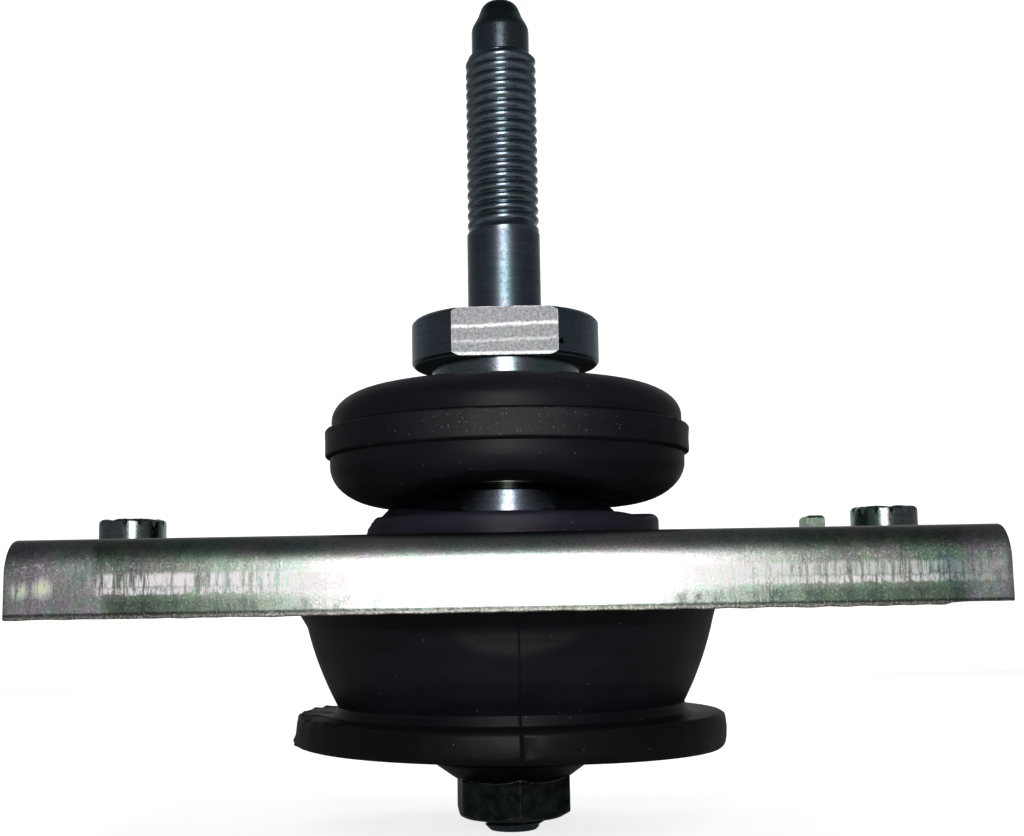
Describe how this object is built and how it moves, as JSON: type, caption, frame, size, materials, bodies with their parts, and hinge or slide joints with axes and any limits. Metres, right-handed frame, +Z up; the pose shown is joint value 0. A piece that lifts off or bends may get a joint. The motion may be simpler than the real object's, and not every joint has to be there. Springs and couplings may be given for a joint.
{
  "type": "rubber engine mount",
  "caption": "Rubber engine mount: channel plate carried in bonded rubber, a threaded stud through the middle with a flatted collar, a rubber snubber ring above and a hexagon nut below.",
  "frame": {"origin": "on the stud's axis, in the top face of the channel plate, midway between the two plate nuts", "axes": "+Z up along the stud towards its long threaded end, +X along the channel plate, -Y towards the pictured side"},
  "size_m": [0.148, 0.08, 0.1376],
  "materials": {
    "zinc_plate": "bright zinc with a faint green and pink sheen",
    "zinc_hardware": "bright zinc, turned",
    "stud_steel": "bluish zinc, darker towards the tip",
    "black_rubber": "satin, moulded, a little dusty",
    "black_nut": "blue-black, oiled"
  },
  "bodies": {
    "root": {"mounting_plate": "zinc_plate", "left_plate_nut": "zinc_hardware", "right_plate_nut": "zinc_hardware", "main_rubber": "black_rubber", "inner_sleeve": "zinc_hardware", "support_disc": "zinc_hardware", "stud": "stud_steel", "thrust_washer": "zinc_hardware", "snubber_core": "zinc_hardware", "snubber_rubber": "black_rubber", "flange_nut": "black_nut"}
  },
  "joints": []
}
